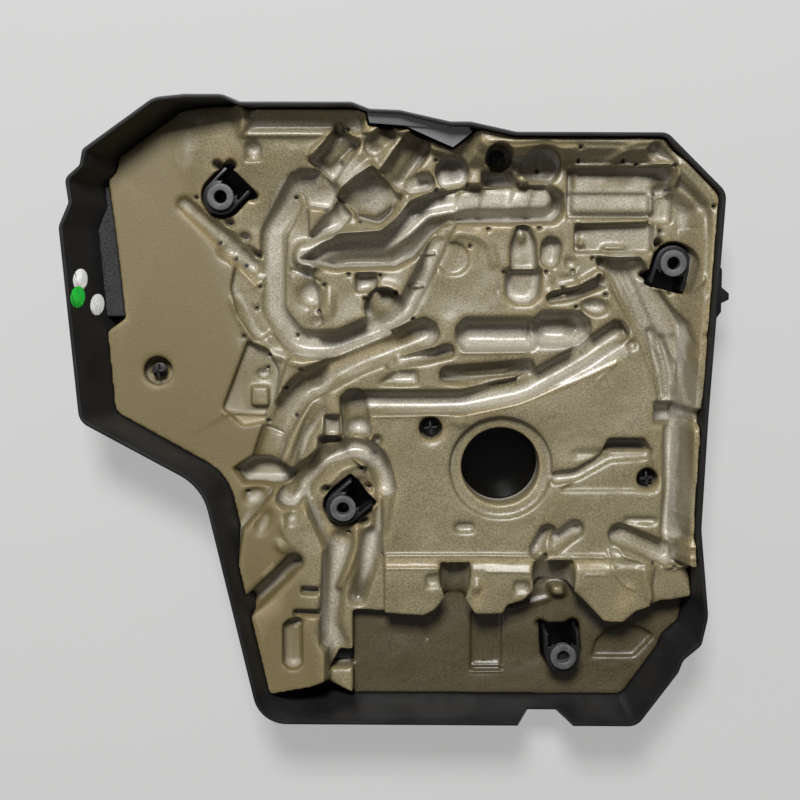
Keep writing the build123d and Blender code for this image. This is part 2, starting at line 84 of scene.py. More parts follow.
# Soft ovals: x, y, half length, half width, turn in degrees, rise.
SOFT_OVALS = (
    (-110, -49, 26, 6, 0, -14), (186, 126, 24, 8, 0, 8), (-10, 92, 20, 20, 0, 7), (-14, 224, 15, 12, 0, 6),
    (-117, 217, 10, 7, 0, -5), (-143, 132, 9, 6, -35, -5), (-113, 31, 6, 4, 0, -9),
    (-33, -14, 10, 9, 0, -5), (-17, -24, 5, 6, 20, -9), (28, -14, 16, 16, 0, -3), (-201, 34, 17, 17, 0, -2),
    (211, -57, 14, 14, 0, -2.5), (214, 213, 16, 10, 0, -4), (151, 140, 5, 5, 0, 6), (103, 146, 6, 9, 0, 4),
    (163, 88, 14, 8, -5, -9), (252, 66, 7, 3, 0, -6), (-97, -111, 9, 5, -50, 4), (-84, -176, 8, 6, 40, -7),
    (67, -147, 8, 5, 80, 4), (-72, 98, 15, 13, 20, -5), (-56, 92, 6, 16, 0, 3), (-66, 82, 10, 8, 0, 3),
    (70, 215, 9, 7, 0, -3), (150, 70, 10, 12, 0, -3), (-122, -72, 12, 9, 30, -5),
    (-112, -90, 9, 16, -20, -4), (-30, -62, 12, 8, 0, -3), (195, 57, 6, 5, 40, -4),
    (130, 118, 9, 7, 30, -2), (-6, 62, 7, 5, 30, 2), (-147, 204, 4, 3, -30, -30),
    (-136, 204, 4, 3, -30, -30), (-119, 179, 4, 3, 0, -30), (-126, 145, 5, 3, -30, -14),
    (-116, 131, 5, 3, -35, -10), (-139, 157, 4, 3, -40, -22), (206, 114, 5, 3, 10, -24),
    (214, 140, 5, 3, -20, -24), (236, 105, 4, 4, 0, -20), (-60, -67, 4, 3, 30, -24),
    (-24, -66, 4, 3, -20, -24), (-29, -94, 5, 3, -10, -24), (124, -187, 5, 3, 0, -12),
    (152, -186, 5, 3, 0, -12), (190, 229, 6, 4, 0, -20), (118, 229, 5, 3, 0, -14),
)

# Soft fields: corners, rise, width of the slope at the edge.
SOFT_FIELDS = (
    (((64, 226), (216, 226), (221, 202), (141, 202), (135, 206), (120, 219), (104, 215), (70, 207)), 5, 6),
    (((142, 206), (228, 206), (228, 186), (212, 184), (212, 163), (142, 163)), 7, 3),
    (((148, 159), (215, 159), (215, 133), (148, 133)), 5, 3),
    (((-21, 209), (5, 182), (2, 171), (-16, 158), (-39, 162), (-53, 182)), 11, 4),
    (((-76, 212), (-49, 238), (-28, 226), (-55, 201)), 6, 4),
    (((216, 6), (256, 6), (256, -10), (216, -10)), -12, 3),
    (((-126, 256), (-22, 256), (-22, 226), (-126, 226)), -12, 10),
    (((-20, 22), (-2, 38), (18, 37), (20, 22), (4, 21)), -7, 5),
    (((41, -4), (50, 1), (58, -2), (62, -10), (50, -15), (43, -8)), 2.5, 4),
    (((231, -94), (231, -106), (247, -106), (247, -96)), -4, 3),
    (((129, -149), (131, -162), (146, -163), (144, -149)), 10, 3),
    (((-76, 20), (-52, 30), (-58, -2), (-74, -50), (-92, -46)), -3, 8),
    (((136, 128), (147, 130), (150, 120), (139, 118)), -3, 3),
    (((126, 116), (146, 117), (151, 108), (128, 102)), -2, 4),
)

# Fine strokes keep their edges: path, half width, rise.
FINE_STROKES = (
    (((-180, 168), (-152, 141), (-118, 104)), 2.6, 1.3), (((18, 132), (31, 132)), 1.8, 4),
    (((11, 104.5), (22, 105.5)), 2.2, 5), (((-110, -14), (-97, -20)), 2, -3.5),
    (((-91, -14), (-97, -38)), 1.8, 1.6), (((-66, -30), (-80, -54)), 2, -1.6),
    (((-76, -6), (-88, -40)), 1.8, -1.4), (((-54, -34), (-72, -50)), 2.2, 1.5),
    (((-20, -3), (60, -2), (100, 7), (150, 27), (182, 42)), 2.6, 1.3), (((142, 164), (207, 165)), 1.6, 1.6),
    (((142, 160.5), (205, 161.5)), 1.8, 2.2), (((-11, -121), (112, -121)), 1.8, 1.2),
    (((-11, -131.5), (36, -131.5)), 1.8, 1.2), (((76, -134.5), (112, -134.5)), 1.8, 1.2),
    (((150, -122.5), (175, -123)), 1.8, 1.4), (((160, -137), (176, -137.5)), 1.8, 1.2),
    (((66, -225), (90, -225)), 2, 3), (((65, -229.5), (90, -229.5)), 1.6, 2),
    (((22, -189), (26, -200)), 2.4, -1.6), (((231, -108), (247, -108)), 1.8, 1.8),
    (((235, -118), (248, -118)), 1.6, 1.6), (((232, -83.5), (240, -83.5)), 1.6, 1.4),
    (((178, -118), (183, -136), (192, -146), (200, -150)), 2.4, 1.6),
    (((184, -112), (192, -122), (206, -126), (216, -129)), 2.2, 1.6), (((147, 118), (152, 107)), 1.8, 1.6),
    (((-146, -2), (-112, -3)), 2.4, 1.8), (((111, 54), (111, 73)), 1.8, -2.5),
    (((-88, 118), (-74, 115), (-64, 109)), 2.4, -2.5), (((54, 50), (108, 51)), 2.2, 1.4),
    (((-138, 175), (-120, 181)), 1.6, 1.2), (((232, 152), (244, 153)), 1.6, -1.6),
    (((180, 40), (166, 26)), 2.5, 0.6),
)

# Inner face of the right wall near the rim, in plan: x, y.
RIGHT_WALL = (
    (213.5, 223.5), (226.3, 209.5), (241.2, 194.5), (255.5, 179.5), (256.2, 160), (254, 120), (251.5, 75),
    (249.6, 40), (247.5, 0), (245.9, -40), (244.4, -80), (244.8, -100), (247.3, -125),
)
# Section of the foam's bank along that wall: distance from the wall, height.
BANK_SECTION = ((3.4, 26), (0, 71), (4, 70), (15, 38), (15, 26))

# Vent pits left by the mould: x, y.
PITS = (
    (-166, 178), (-148, 140), (-135, 127), (-127, 121), (-115, 104), (-84, 178), (-118, 86), (-50, 231),
    (-40, 232), (-30, 158), (-58, 168), (-60, 106), (-40, 115), (75, 152), (-65, 84), (-27, 95), (116, 200),
    (147, 217), (147, 207), (194, 204), (223, 203), (212, 180), (222, 184), (216, 150), (161, 128),
    (123, 117), (145, 118), (166, 114), (137, 104), (172, 98), (117, 153), (254, 170), (148, 88),
    (225, 100), (-107, 47), (-109, 36), (-80, 36), (-94, 20), (-109, -9), (-85, -5), (-128, 63), (-84, 63),
    (-30, -48), (216, -128), (234, -131), (246, -133), (32, 208), (32, 184), (58, 188), (100, 189),
    (60, 138), (13, 78), (-14, 114), (-1, 100), (-127, -69), (-41, -104), (88, 117), (183, 207),
)
PIT_RADIUS = 2.5
PIT_DEPTH = 5.0

# Unevenness of the moulded skin: height, size of a hill, seed.
SOFT_LUMPS = (1.1, 24, 3)
FINE_LUMPS = (0.25, 7, 5)

# Heights between which a lift of the skin sets in, so that the foam's underside stays where it is.
UNDERSIDE = (8, 15)
# Lowest and highest place that the forms, and the deepening, bring the skin to.
FORM_RANGE = (4, 75)
DEEP_RANGE = (5, 72)

# Grid that gives the broad surface: half its width, cell, reach of the smoothing in cells, passes.
GRID_HALF = 300
CELL = 2.0
BROAD = 9
BROAD_PASSES = 3

# How hollow the skin is: smoothing passes, and the depth that counts as fully hollow.
HOLLOW_PASSES = 60
HOLLOW_DEPTH = 6
# Share of a colour band's width that is even.
BAND_FLAT = 0.4

# Crossed fins on the head of a pin: length, thickness and height, rise of their middle over the head, turn.
FIN = (11, 1.6, 12)
FIN_RISE = 5
FIN_TURN = 0.1

# Lamps: name, place, size, power.
LAMPS = (("key", (-0.25, 1.75, 2.5), 0.75, 160.0), ("side", (-2.2, -0.3, 1.2), 1.2, 6.0))

# Where the skin has an ochre cast: path, half width.
OCHRE_BANDS = (
    (((-8, -126), (112, -127)), 6), (((150, -129), (178, -129)), 7), (((-178, 166), (-116, 104)), 4),
    (((-130, -8), (-118, -6)), 7), (((-20, -58), (-18, -76)), 9), (((-60, -104), (-45, -108)), 10),
    (((66, 150), (90, 154)), 6), (((58, 138), (60, 130)), 5), (((-80, 28), (-40, 44), (10, 62)), 7),
    (((254, 200), (258, 170), (252, 60)), 6), (((-112, -120), (-108, -132)), 9),
    (((-100, -160), (-116, -172)), 6), (((60, -2), (104, 8), (150, 27), (184, 44)), 4),
    (((190, -164), (196, -150)), 8), (((70, 222), (140, 221)), 5), (((66, -164), (72, -146)), 5),
)

# Where the skin is pale grey, partly its own grey and partly painted sheen, and glossy: path, half width,
# share.
GREY_AND_SHEEN_BANDS = (
    (((186, 126), (202, 96), (220, 62), (231, 32), (235, 6)), 17, 0.36),
    (((-74, 130), (-47, 138), (-12, 140), (5, 150), (22, 166), (60, 171), (120, 172)), 13, 0.6),
    (((-71, 193), (-90, 186), (-103, 155), (-103, 120), (-101, 85), (-82, 60), (-58, 53), (-30, 60),
      (-10, 71), (15, 95), (25, 127)), 11, 0.45),
    (((-28, 9), (61, 8), (100, 13), (150, 32), (185, 51)), 9, 0.55), (((60, 62), (150, 62)), 15, 0.6),
    (((234, -12), (236, -60), (232, -100)), 9, 0.25), (((150, 176), (205, 176)), 14, 0.4),
    (((-36, 196), (-18, 178)), 17, 0.55), (((160, 146), (206, 146)), 12, 0.35),
    (((90, 178), (130, 176)), 9, 0.45),
)


class ShellSettings(bpy.types.PropertyGroup):
    """Finish of the black plastic moulding."""

    edge_round: bpy.props.FloatProperty(
        name="Edge round", description="Round-over on the moulding's edges", default=0.0007, unit="LENGTH")
    colour: bpy.props.FloatVectorProperty(
        name="Plastic", description="Colour of the plastic", subtype="COLOR", size=3,
        default=(0.0075, 0.0075, 0.0082))


class FoamSettings(bpy.types.PropertyGroup):
    """Shape and finish of the moulded foam."""

    voxel: bpy.props.FloatProperty(
        name="Detail", description="Size of the foam's finest detail", default=0.0013, unit="LENGTH")
    softness: bpy.props.IntProperty(
        name="Softness", description="Smoothing passes that round the relief", default=14)
    depth: bpy.props.FloatProperty(
        name="Depth", description="How much the relief is drawn out", default=0.25)
    faces: bpy.props.IntProperty(name="Faces", description="Triangles kept in the foam", default=190000)
    skin: bpy.props.FloatVectorProperty(
        name="Skin", description="Colour of the foam's skin", subtype="COLOR", size=3,
        default=(0.102, 0.076, 0.026))
    worn: bpy.props.FloatVectorProperty(
        name="Worn", description="Colour of the skin over the relief", subtype="COLOR", size=3,
        default=(0.152, 0.128, 0.074))
    ochre: bpy.props.FloatVectorProperty(
        name="Ochre", description="Tint of the raised edges", subtype="COLOR", size=3,
        default=(0.23, 0.178, 0.088))
    # Pale grey of the hollows, partly the skin's own colour and partly painted sheen.
    grey: bpy.props.FloatVectorProperty(
        name="Grey", description="Colour of the glossy hollows", subtype="COLOR", size=3,
        default=(0.36, 0.334, 0.282))
    # Painted shade for the low shelf at the front, under the apron's step.
    shade: bpy.props.FloatVectorProperty(
        name="Shade", description="Colour of the low shelf", subtype="COLOR", size=3,
        default=(0.052, 0.04, 0.018))


class StageSettings(bpy.types.PropertyGroup):
    """Floor, light and camera."""

    floor: bpy.props.FloatVectorProperty(
        name="Floor", description="Colour of the floor", subtype="COLOR", size=3,
        default=(0.15, 0.15, 0.149))
    distance: bpy.props.FloatProperty(
        name="Camera distance", description="From the camera to its target", default=1.2, unit="LENGTH")
    tilt: bpy.props.FloatProperty(
        name="Camera tilt", description="Lean of the camera to the back", default=math.radians(6.55),
        unit="ROTATION")
    lens: bpy.props.FloatProperty(name="Lens", description="Focal length in millimetres", default=64.29)
    target: bpy.props.FloatVectorProperty(
        name="Target", description="Point that the camera looks at", size=3, subtype="TRANSLATION",
        default=(0.0023, 0.0096, 0.035))


def deselect():
    """Leaves object mode with nothing selected."""
    if bpy.context.object and bpy.context.object.mode != "OBJECT":
        bpy.ops.object.mode_set(mode="OBJECT")
    bpy.ops.object.select_all(action="DESELECT")


def pick(piece):
    """Makes one piece the only one that operators act on."""
    deselect()
    piece.select_set(True)
    bpy.context.view_layer.objects.active = piece


def on_mesh(piece, operator, **values):
    """Runs one mesh operator on all of a piece."""
    pick(piece)
    bpy.ops.object.mode_set(mode="EDIT")
    bpy.ops.mesh.select_all(action="SELECT")
    operator(**values)
    bpy.ops.object.mode_set(mode="OBJECT")


def copy_of(node, name):
    """A piece that starts as a merged copy of a CAD node."""
    piece = bpy.data.objects.new(name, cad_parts[node].data.copy())
    bpy.context.scene.collection.objects.link(piece)
    piece.data.materials.clear()
    on_mesh(piece, bpy.ops.mesh.remove_doubles, threshold=0.01 * MM)
    return piece


def join(piece, others):
    """Makes other pieces part of the first."""
    pick(piece)
    for other in others:
        other.select_set(True)
    bpy.ops.object.join()


def modify(piece, kind, **values):
    """Adds a modifier and applies it."""
    pick(piece)
    modifier = piece.modifiers.new(kind.lower(), kind)
    for name, value in values.items():
        setattr(modifier, name, value)
    bpy.ops.object.modifier_apply(modifier=modifier.name)


def round_edges(piece, width, segments, angle):
    """Rounds the edges that are sharper than an angle."""
    modify(piece, "BEVEL", width=width, segments=segments, limit_method="ANGLE",
           angle_limit=math.radians(angle))


def soften(piece, angle):
    """Smooth shading up to an angle."""
    pick(piece)
    bpy.ops.object.shade_smooth_by_angle(angle=math.radians(angle))


def seat(piece, material, slot, *nodes):
    """Gives a piece its finish and puts it in the place of its CAD nodes."""
    piece.data.materials.clear()
    piece.data.materials.append(material)
    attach(piece, BODY)
    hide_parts(*nodes)


def add(tree, kind, **values):
    """One shader node with its settings and unlinked inputs; underscores stand for spaces in their names."""
    node = tree.nodes.new("ShaderNode" + kind)
    for name, value in values.items():
        words = name.replace("_", " ")
        if words in node.inputs:
            node.inputs[words].default_value = value
        else:
            setattr(node, name, value)
    return node


def link(tree, source, target):
    """Joins an output to an input."""
    tree.links.new(source, target)


def spread(tree, value, low, high, to_low=0.0, to_high=1.0):
    """A value stretched from one range to another."""
    node = add(tree, "MapRange", From_Min=low, From_Max=high, To_Min=to_low, To_Max=to_high)
    link(tree, value, node.inputs["Value"])
    return node.outputs["Result"]


def sums(tree, kind, a, b):
    """Two values put together; either may be a plain number."""
    node = add(tree, "Math", operation=kind)
    for socket, value in zip(node.inputs, (a, b)):
        if isinstance(value, (int, float)):
            socket.default_value = value
        else:
            link(tree, value, socket)
    return node.outputs["Value"]


def blend(tree, share, a, b):
    """One colour over another by a share; a colour is a socket or three numbers."""
    node = add(tree, "Mix", data_type="RGBA")
    link(tree, share, node.inputs[0])
    for socket, value in ((node.inputs[6], a), (node.inputs[7], b)):
        if isinstance(value, bpy.types.NodeSocket):
            link(tree, value, socket)
        else:
            socket.default_value = (*value, 1.0)
    return node.outputs[2]


def grain_group():
    """Fine moulded grain: a speckle for colours and a height for bumps."""
    name = "moulded_grain"
    if name in bpy.data.node_groups:
        return bpy.data.node_groups[name]
    group = bpy.data.node_groups.new(name, "ShaderNodeTree")
    group.interface.new_socket("Fine", in_out="INPUT", socket_type="NodeSocketFloat")
    group.interface.new_socket("Coarse", in_out="INPUT", socket_type="NodeSocketFloat")
    group.interface.new_socket("Speckle", in_out="OUTPUT", socket_type="NodeSocketFloat")
    group.interface.new_socket("Cloud", in_out="OUTPUT", socket_type="NodeSocketFloat")
    ends = group.nodes.new("NodeGroupInput"), group.nodes.new("NodeGroupOutput")
    place = add(group, "TexCoord").outputs["Object"]
    for size, out, detail in (("Fine", "Speckle", 2.0), ("Coarse", "Cloud", 4.0)):
        node = add(group, "TexNoise", Detail=detail, Roughness=0.6)
        link(group, place, node.inputs["Vector"])
        link(group, ends[0].outputs[size], node.inputs["Scale"])
        link(group, node.outputs["Fac"], ends[1].inputs[out])
    return group


def grain(tree, fine, coarse):
    """The grain group placed in a material; returns its speckle and its cloud."""
    node = tree.nodes.new("ShaderNodeGroup")
    node.node_tree = grain_group()
    node.inputs["Fine"].default_value = fine
    node.inputs["Coarse"].default_value = coarse
    return node.outputs["Speckle"], node.outputs["Cloud"]


def material(name, **values):
    """A material with a Principled shader and its constants; returns it with its tree and shader."""
    made = bpy.data.materials.new(name)
    made.use_nodes = True
    tree = made.node_tree
    shader = tree.nodes["Principled BSDF"]
    for key, value in values.items():
        shader.inputs[key.replace("_", " ")].default_value = value
    return made, tree, shader


def bump(tree, shader, height, strength, distance):
    """A bump on the shader's normal."""
    node = add(tree, "Bump", Strength=strength, Distance=distance)
    link(tree, height, node.inputs["Height"])
    link(tree, node.outputs["Normal"], shader.inputs["Normal"])


def cover_plastic(colour):
    """Satin black plastic with a fine grain and faint dust, painted shade that makes the panel under the foam
    blacker, and a painted grey sheen on the rear ledge.
    """
    made, tree, shader = material("cover_plastic", IOR=1.33)
    speckle, cloud = grain(tree, 1500.0, 28.0)
    dust = spread(tree, cloud, 0.4, 0.9, 0.0, 0.5)
    dusty = tuple(c * 1.8 + 0.004 for c in colour)
    place = add(tree, "SeparateXYZ")
    link(tree, add(tree, "TexCoord").outputs["Object"], place.inputs[0])
    height = place.outputs["Z"]
    # Painted shade: the panel under the foam, seen through the openings, is painted ten times darker and made
    # a little glossier.
    shaded_inner_panel = sums(tree, "MULTIPLY", spread(tree, height, 0.001, 0.0025), spread(tree, height, 0.006, 0.004))
    tone = blend(tree, shaded_inner_panel, blend(tree, dust, colour, dusty), tuple(c * 0.1 for c in colour))
    # Painted sheen: the upward faces of the rear ledge are painted light grey.
    tone = blend(tree, stored(tree, "ledge"), tone, (0.2, 0.2, 0.205))
    link(tree, tone, shader.inputs["Base Color"])
    satin = spread(tree, cloud, 0.3, 0.7, 0.34, 0.46)
    gloss = sums(tree, "MULTIPLY", shaded_inner_panel, 0.2)
    link(tree, sums(tree, "SUBTRACT", satin, gloss), shader.inputs["Roughness"])
    bump(tree, shader, speckle, 0.12, 0.0003)
    return made


def stored(tree, name):
    """A value kept at the vertices."""
    return add(tree, "Attribute", attribute_name=name).outputs["Fac"]


def foam_skin(settings):
    """Moulded foam: olive skin, pale grey and glossy in hollows where the grey is partly its own and partly
    painted sheen, ochre on raised edges, painted shade on the low shelf and in the vent pits, with a fine
    speckle.
    """
    made, tree, shader = material("foam_skin", IOR=1.58)
    speckle, cloud = grain(tree, 700.0, 16.0)
    hollow, relief = stored(tree, "hollow"), stored(tree, "relief")
    deep = spread(tree, hollow, 0.1, 0.75)
    tone = blend(tree, sums(tree, "MULTIPLY", relief, spread(tree, cloud, 0.3, 0.6, 0.6, 1.0)),
                 tuple(settings.skin), tuple(settings.worn))
    # The pale grey in the hollows is partly the skin's own grey and partly painted sheen.
    tone = blend(tree, sums(tree, "MULTIPLY", deep, 0.9), tone, tuple(settings.grey))
    edge = sums(tree, "MAXIMUM", spread(tree, hollow, -0.25, -0.9), stored(tree, "ochre"))
    tone = blend(tree, sums(tree, "MULTIPLY", edge, 0.55), tone, tuple(settings.ochre))
    # Painted shade darkens the low shelf under the apron's step.
    tone = blend(tree, stored(tree, "shade"), tone, tuple(settings.shade))
    # Painted shade darkens the vent pits.
    tone = blend(tree, stored(tree, "pit"), tone, (0.02, 0.016, 0.01))
    dots = spread(tree, speckle, 0.3, 0.7, 0.62, 1.38)
    dots = sums(tree, "ADD", sums(tree, "MULTIPLY", sums(tree, "SUBTRACT", dots, 1.0),
                                  spread(tree, relief, 0.0, 1.0, 0.35, 1.0)), 1.0)
    scaled = add(tree, "VectorMath", operation="SCALE")
    link(tree, tone, scaled.inputs[0])
    link(tree, dots, scaled.inputs["Scale"])
    link(tree, scaled.outputs["Vector"], shader.inputs["Base Color"])
    dull = spread(tree, relief, 0.0, 1.0, 0.62, 0.42)
    gloss = sums(tree, "MULTIPLY", deep, 0.1)
    link(tree, sums(tree, "SUBTRACT", dull, gloss), shader.inputs["Roughness"])
    bump(tree, shader, speckle, 0.25, 0.0006)
    return made


def grommet_rubber():
    """Grey-black rubber with a dull bloom."""
    made, tree, shader = material("grommet_rubber", IOR=1.5)
    speckle, cloud = grain(tree, 900.0, 160.0)
    link(tree, blend(tree, spread(tree, cloud, 0.3, 0.7), (0.03, 0.03, 0.031), (0.07, 0.07, 0.072)),
         shader.inputs["Base Color"])
    link(tree, spread(tree, speckle, 0.3, 0.7, 0.5, 0.66), shader.inputs["Roughness"])
    bump(tree, shader, speckle, 0.15, 0.0003)
    return made


def pin_plastic():
    """Plain black plastic of the push pins."""
    made, tree, shader = material("pin_plastic", IOR=1.42)
    speckle, cloud = grain(tree, 1400.0, 200.0)
    link(tree, blend(tree, cloud, (0.01, 0.01, 0.01), (0.022, 0.022, 0.022)), shader.inputs["Base Color"])
    link(tree, spread(tree, cloud, 0.3, 0.7, 0.3, 0.42), shader.inputs["Roughness"])
    bump(tree, shader, speckle, 0.1, 0.0002)
    return made


def strip_felt():
    """Dark felt with light fibres."""
    made, tree, shader = material("strip_felt", IOR=1.4)
    speckle, cloud = grain(tree, 900.0, 120.0)
    link(tree, blend(tree, spread(tree, speckle, 0.4, 0.68), (0.008, 0.008, 0.008), (0.036, 0.036, 0.037)),
         shader.inputs["Base Color"])
    link(tree, spread(tree, cloud, 0.2, 0.8, 0.75, 0.95), shader.inputs["Roughness"])
    bump(tree, shader, speckle, 0.6, 0.0012)
    return made


def label_paper(name, colour):
    """Coated paper of a plain sticker, a little soiled."""
    made, tree, shader = material(name, IOR=1.45)
    speckle, cloud = grain(tree, 1100.0, 240.0)
    soiled = tuple(c * 0.82 for c in colour)
    link(tree, blend(tree, spread(tree, cloud, 0.35, 0.75), colour, soiled), shader.inputs["Base Color"])
    link(tree, spread(tree, speckle, 0.3, 0.7, 0.4, 0.55), shader.inputs["Roughness"])
    bump(tree, shader, speckle, 0.05, 0.0002)
    return made


def points_of(piece, kind="co"):
    """Vertex positions of a piece, or its normals, as an array."""
    flat = np.empty(len(piece.data.vertices) * 3, np.float32)
    piece.data.vertices.foreach_get(kind, flat)
    return flat.reshape(-1, 3).astype(float)


def put_points(piece, points):
    """Writes vertex positions back."""
    piece.data.vertices.foreach_set("co", points.astype(np.float32).ravel())
    piece.data.update()


def averaged(piece, values, passes):
    """Values at the vertices, spread over their neighbours a number of times."""
    flat = np.empty(len(piece.data.edges) * 2, np.int32)
    piece.data.edges.foreach_get("vertices", flat)
    a, b = flat.reshape(-1, 2).T
    count = np.bincount(a, minlength=len(values)) + np.bincount(b, minlength=len(values))
    for i in range(passes):
        near = np.bincount(a, values[b], len(values)) + np.bincount(b, values[a], len(values))
        values = 0.5 * values + 0.5 * near / np.maximum(count, 1)
    return values


def rising(share):
    """Smooth rise from 0 to 1."""
    share = np.clip(share, 0, 1)
    return share * share * (3 - 2 * share)


def off_path(plan, path):
    """Distance in plan of each point from a path."""
    nearest = np.full(len(plan), np.inf)
    for start, end in zip(path, path[1:]):
        start, way = np.array(start, float), np.subtract(end, start).astype(float)
        along = np.clip((plan - start) @ way / (way @ way), 0, 1)
        gap = plan - start - along[:, None] * way
        nearest = np.minimum(nearest, np.hypot(gap[:, 0], gap[:, 1]))
    return nearest


def stroke(plan, path, half, flat=0.0):
    """1 along the middle of a path, falling to 0 at its edges."""
    return rising((1 - off_path(plan, path) / half) / (1 - flat))


def oval(plan, x, y, length, width, turn):
    """1 at the middle of an oval, falling to 0 at its edge."""
    turn = math.radians(turn)
    gap = plan - (x, y)
    along = (gap[:, 0] * math.cos(turn) + gap[:, 1] * math.sin(turn)) / length
    across = (gap[:, 1] * math.cos(turn) - gap[:, 0] * math.sin(turn)) / width
    return rising(1.4 * (1 - np.hypot(along, across)))


def field(plan, corners, slope):
    """1 inside a polygon, falling to 0 at its edge."""
    inside = np.zeros(len(plan), bool)
    for (ax, ay), (bx, by) in zip(corners, corners[1:] + corners[:1]):
        if ay == by:
            continue
        crosses = (plan[:, 1] < ay) != (plan[:, 1] < by)
        inside ^= crosses & (plan[:, 0] < ax + (plan[:, 1] - ay) * (bx - ax) / (by - ay))
    edge = off_path(plan, corners + corners[:1])
    return rising(np.where(inside, edge, 0) / slope)


def lumps(plan, size, seed):
    """Smooth unevenness from -1 to 1 with hills of about a size."""
    grid = np.random.RandomState(seed).uniform(-1, 1, (64, 64))
    place = np.mod(plan / size + 32, 63)
    cell = place.astype(int)
    (i, j), (u, v) = cell.T, rising(place - cell).T
    low = grid[i, j] * (1 - u) + grid[i + 1, j] * u
    high = grid[i, j + 1] * (1 - u) + grid[i + 1, j + 1] * u
    return low * (1 - v) + high * v


def relief_share(plan):
    """1 over the moulded relief and 0 over the plain foam on the left."""
    return rising((plan[:, 0] + 150 + 0.25 * (plan[:, 1] - 80)) / 30)


def front_share(plan, start, width):
    """1 over the low shelf at the front, from a line across the foam."""
    return rising((start - plan[:, 1]) / width) * rising((plan[:, 0] + 45) / 8)


def lift(piece, points, amount, limits):
    """Lifts the upper side of a piece by an amount in millimetres at each point, within limits."""
    height = points[:, 2] / MM
    low, high = UNDERSIDE
    raised = height + amount * rising((height - low) / (high - low))
    points[:, 2] = np.clip(raised, np.minimum(height, limits[0]), np.maximum(height, limits[1])) * MM
    put_points(piece, points)


def raise_by(piece, forms):
    """Lifts a piece by forms that depend on the place in plan."""
    points = points_of(piece)
    lift(piece, points, forms(points[:, :2] / MM), FORM_RANGE)


def blurred(grid, reach):
    """A grid of numbers averaged over a square, along one side and then the other."""
    for axis in (0, 1):
        total = np.zeros_like(grid)
        for step in range(-reach, reach + 1):
            total += np.roll(grid, step, axis)
        grid = total / (2 * reach + 1)
    return grid


def broad_height(points):
    """Height of the upper side around each point, in millimetres, with all that is small smoothed away."""
    cells = 2 * GRID_HALF / CELL
    i, j = np.clip((points[:, :2] / MM + GRID_HALF) / CELL, 0, cells - 1).astype(int).T
    top = np.zeros((int(cells), int(cells)))
    np.maximum.at(top, (i, j), points[:, 2] / MM)
    filled = (top > 0).astype(float)
    for step in range(BROAD_PASSES):
        top, filled = blurred(top, BROAD), blurred(filled, BROAD)
    return (top / np.maximum(filled, 1e-6))[i, j]


def deepen(piece, share):
    """Draws the relief out by a share of its height over the broad surface."""
    points = points_of(piece)
    plan, height = points[:, :2] / MM, points[:, 2] / MM
    drawn = share * relief_share(plan) * (1 - front_share(plan, -140, 20))
    lift(piece, points, drawn * (height - broad_height(points)), DEEP_RANGE)


def wall_bank():
    """The bank of foam that lines the right wall up to the rim."""
    wall = np.array(RIGHT_WALL, float)
    way = np.gradient(wall, axis=0)
    way /= np.hypot(way[:, 0], way[:, 1])[:, None]
    inward = np.column_stack([way[:, 1], -way[:, 0]])
    count = len(BANK_SECTION)
    corners = [(*(spot + off * side), high)
               for spot, side in zip(wall, inward) for off, high in BANK_SECTION]
    sides = []
    for row in range(0, len(corners) - count, count):
        for i in range(count):
            after = (i + 1) % count
            sides.append((row + i, row + after, row + count + after, row + count + i))
    ends = [tuple(range(count)), tuple(range(len(corners) - count, len(corners)))]
    mesh = bpy.data.meshes.new("bank")
    mesh.from_pydata([tuple(c * MM for c in corner) for corner in corners], [], sides + ends)
    bank = bpy.data.objects.new("bank", mesh)
    bpy.context.scene.collection.objects.link(bank)
    on_mesh(bank, bpy.ops.mesh.normals_make_consistent, inside=False)
    return bank


def soft_forms(plan):
    """The forms that are rounded with the foam."""
    high, size, seed = SOFT_LUMPS
    total = high * lumps(plan, size, seed) * relief_share(plan)
    for path, half, rise, flat in SOFT_STROKES:
        total += rise * stroke(plan, path, half, flat)
    for x, y, length, width, turn, rise in SOFT_OVALS:
        total += rise * oval(plan, x, y, length, width, turn)
    for corners, rise, slope in SOFT_FIELDS:
        total += rise * field(plan, corners, slope)
    return total


def fine_forms(plan):
    """The creases, step edges and pits that stay crisp."""
    high, size, seed = FINE_LUMPS
    total = high * lumps(plan, size, seed) * relief_share(plan)
    for path, half, rise in FINE_STROKES:
        total += rise * stroke(plan, path, half)
    for x, y in PITS:
        total -= PIT_DEPTH * oval(plan, x, y, PIT_RADIUS, PIT_RADIUS, 0)
    return total


def store(piece, name, values):
    """Keeps a value between -1 and 1 at each vertex for the material."""
    layer = piece.data.attributes.new(name, "FLOAT", "POINT")
    layer.data.foreach_set("value", np.clip(values, -1, 1).astype(np.float32))


def mark_foam(piece):
    """Stores where the foam is hollow (1) or raised (-1), ochre, under painted shade on the low shelf and in
    the pits, and grained.
    """
    points = points_of(piece)
    plan, height = points[:, :2] / MM, points[:, 2] / MM
    hollow = (averaged(piece, height, HOLLOW_PASSES) - height) / HOLLOW_DEPTH
    for path, half, share in GREY_AND_SHEEN_BANDS:
        band = share * stroke(plan, path, half, BAND_FLAT)
        hollow = np.where(band > 0, np.maximum(hollow, band), hollow)
    store(piece, "hollow", hollow)
    ochre = np.zeros(len(plan))
    for path, half in OCHRE_BANDS:
        ochre = np.maximum(ochre, stroke(plan, path, half, BAND_FLAT))
    store(piece, "ochre", ochre)
    # Mask of the painted shade on the low shelf at the front.
    low = front_share(plan, -130, 25) * rising((33 - height) / 8)
    store(piece, "shade", averaged(piece, low, 4))
    # Mask of the painted shade in the vent pits.
    pits = np.zeros(len(plan))
    for x, y in PITS:
        pits = np.maximum(pits, oval(plan, x, y, PIT_RADIUS, PIT_RADIUS, 0))
    store(piece, "pit", pits)
    store(piece, "relief", relief_share(plan))


